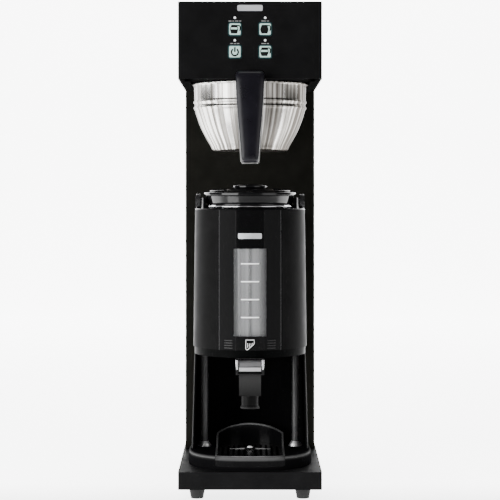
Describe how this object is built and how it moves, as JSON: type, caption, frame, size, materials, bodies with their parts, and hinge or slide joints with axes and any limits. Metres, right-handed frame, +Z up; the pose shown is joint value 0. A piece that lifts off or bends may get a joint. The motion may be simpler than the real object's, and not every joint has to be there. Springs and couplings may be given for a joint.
{
  "type": "commercial coffee brewer",
  "caption": "Tall black filter-coffee brewer with a keypad, a slide-in steel brew basket with a long handle, and a thermal gravity server with a lever faucet.",
  "frame": {"origin": "centre of the footprint, handle and inlet included, at table level", "axes": "+Z up, -Y the front with the keypad and the basket's handle, +X the right side seen from the back"},
  "size_m": [0.205, 0.4668, 0.7124],
  "materials": {
    "satin_black": "satin powder coat",
    "rubber": "matte",
    "screw_steel": "satin",
    "rail_steel": "satin",
    "steel": "satin",
    "basket_steel": "bright brushed",
    "dark_plastic": "matte",
    "tank_foam": "foam",
    "brass": "machined",
    "silicone": "satin",
    "circuit_board": "lacquered",
    "indicator": "gloss",
    "key_plastic": "satin",
    "handle_plastic": "satin",
    "server_plastic": "gloss",
    "pillar_plastic": "satin",
    "drip_grid_plastic": "satin",
    "chrome": "polished",
    "lever_metal": "satin",
    "casing_plastic": "fine grain",
    "fascia_plastic": "satin with a gloss centre band",
    "lid_plastic": "gloss",
    "clear_lens": "clear polycarbonate",
    "gauge_metal": "satin"
  },
  "bodies": {
    "brewer": {"base_shell": "satin_black", "base_plate": "satin_black", "feet": "rubber", "case_screws": "screw_steel", "column_shell": "satin_black", "back_panel": "satin_black", "head_shell": "satin_black", "head_pan": "satin_black", "top_cover": "satin_black", "basket_rails": "rail_steel", "spray_head": "steel", "spray_tube": "rubber", "tank_body": "steel", "tank_lid": "steel", "tank_gasket": "rubber", "tank_bolts": "screw_steel", "heating_element": "steel", "temp_probe": "steel", "limit_thermostat": "dark_plastic", "tank_insulation": "tank_foam", "tank_shelf": "satin_black", "inlet_valve": "brass", "valve_coil": "dark_plastic", "fill_tube": "silicone", "control_board": "circuit_board", "power_board": "circuit_board", "cable_gland": "dark_plastic", "led_lenses": "indicator"},
    "start_key": {"key_start": "key_plastic"},
    "full_jug_key": {"key_full_jug": "key_plastic"},
    "power_key": {"key_power": "key_plastic"},
    "half_jug_key": {"key_half_jug": "key_plastic"},
    "basket": {"basket_shell": "basket_steel", "basket_handle": "handle_plastic", "handle_bracket": "screw_steel", "handle_screws": "screw_steel"},
    "rack": {"filter_rack": "steel"},
    "server": {"server_base": "server_plastic", "stand_shell": "server_plastic", "stand_pillars": "pillar_plastic", "pillar_caps": "chrome", "server_collar": "satin_black", "server_casing": "casing_plastic", "server_fascia": "fascia_plastic", "gauge_lens": "clear_lens", "gauge_reflector": "gauge_metal", "sight_tube": "clear_lens", "vacuum_vessel": "steel", "server_shoulder": "server_plastic", "lid_trim_ring": "chrome", "faucet_body": "server_plastic", "faucet_nozzle": "pillar_plastic"},
    "lid": {"server_lid": "lid_plastic", "lid_gasket": "rubber"},
    "cap": {"brew_cap": "lid_plastic"},
    "bail": {"bail_handle": "server_plastic"},
    "lever": {"faucet_lever": "lever_metal"},
    "stem": {"valve_stem": "rubber"},
    "tray": {"drip_tray": "server_plastic"},
    "grid": {"drip_grid": "drip_grid_plastic"}
  },
  "joints": [
    {"name": "start_key_press", "type": "slide", "parent": "brewer", "child": "start_key", "axis": [0, 1, 0], "range_m": [0, 0.0007], "stiffness_N_per_m": 800, "springref_m": -0.0005},
    {"name": "full_jug_key_press", "type": "slide", "parent": "brewer", "child": "full_jug_key", "axis": [0, 1, 0], "range_m": [0, 0.0007], "stiffness_N_per_m": 800, "springref_m": -0.0005},
    {"name": "power_key_press", "type": "slide", "parent": "brewer", "child": "power_key", "axis": [0, 1, 0], "range_m": [0, 0.0007], "stiffness_N_per_m": 800, "springref_m": -0.0005},
    {"name": "half_jug_key_press", "type": "slide", "parent": "brewer", "child": "half_jug_key", "axis": [0, 1, 0], "range_m": [0, 0.0007], "stiffness_N_per_m": 800, "springref_m": -0.0005},
    {"name": "basket_slide", "type": "slide", "parent": "brewer", "child": "basket", "axis": [0, -1, 0], "range_m": [0, 0.2]},
    {"name": "rack_lift", "type": "slide", "parent": "basket", "child": "rack", "axis": [0, 0, 1], "range_m": [0, 0.05]},
    {"name": "server_slide", "type": "slide", "parent": "brewer", "child": "server", "axis": [0, -1, 0], "range_m": [0, 0.2]},
    {"name": "lid_lift", "type": "slide", "parent": "server", "child": "lid", "axis": [0, 0, 1], "range_m": [0, 0.021]},
    {"name": "cap_lift", "type": "slide", "parent": "lid", "child": "cap", "axis": [0, 0, 1], "range_m": [0, 0.021]},
    {"name": "bail_swing", "type": "hinge", "parent": "server", "child": "bail", "pos_m": [0, -0.0766, 0.4258], "axis": [-1, 0, 0], "range_deg": [-90, 0]},
    {"name": "lever_press", "type": "hinge", "parent": "server", "child": "lever", "pos_m": [0, -0.1676, 0.1945], "axis": [1, 0, 0], "range_deg": [0, 14], "stiffness_Nm_per_rad": 0.6, "springref_deg": -20.05},
    {"name": "stem_lift", "type": "slide", "parent": "server", "child": "stem", "axis": [0, 0, 1], "range_m": [0, 0.0045]},
    {"name": "tray_slide", "type": "slide", "parent": "server", "child": "tray", "axis": [0, -1, 0], "range_m": [0, 0.15]},
    {"name": "grid_lift", "type": "slide", "parent": "tray", "child": "grid", "axis": [0, 0, 1], "range_m": [0, 0.03]}
  ],
  "couplings": [
    {"joint": "stem_lift", "follows": "lever_press", "m_per_rad": 0.018}
  ]
}
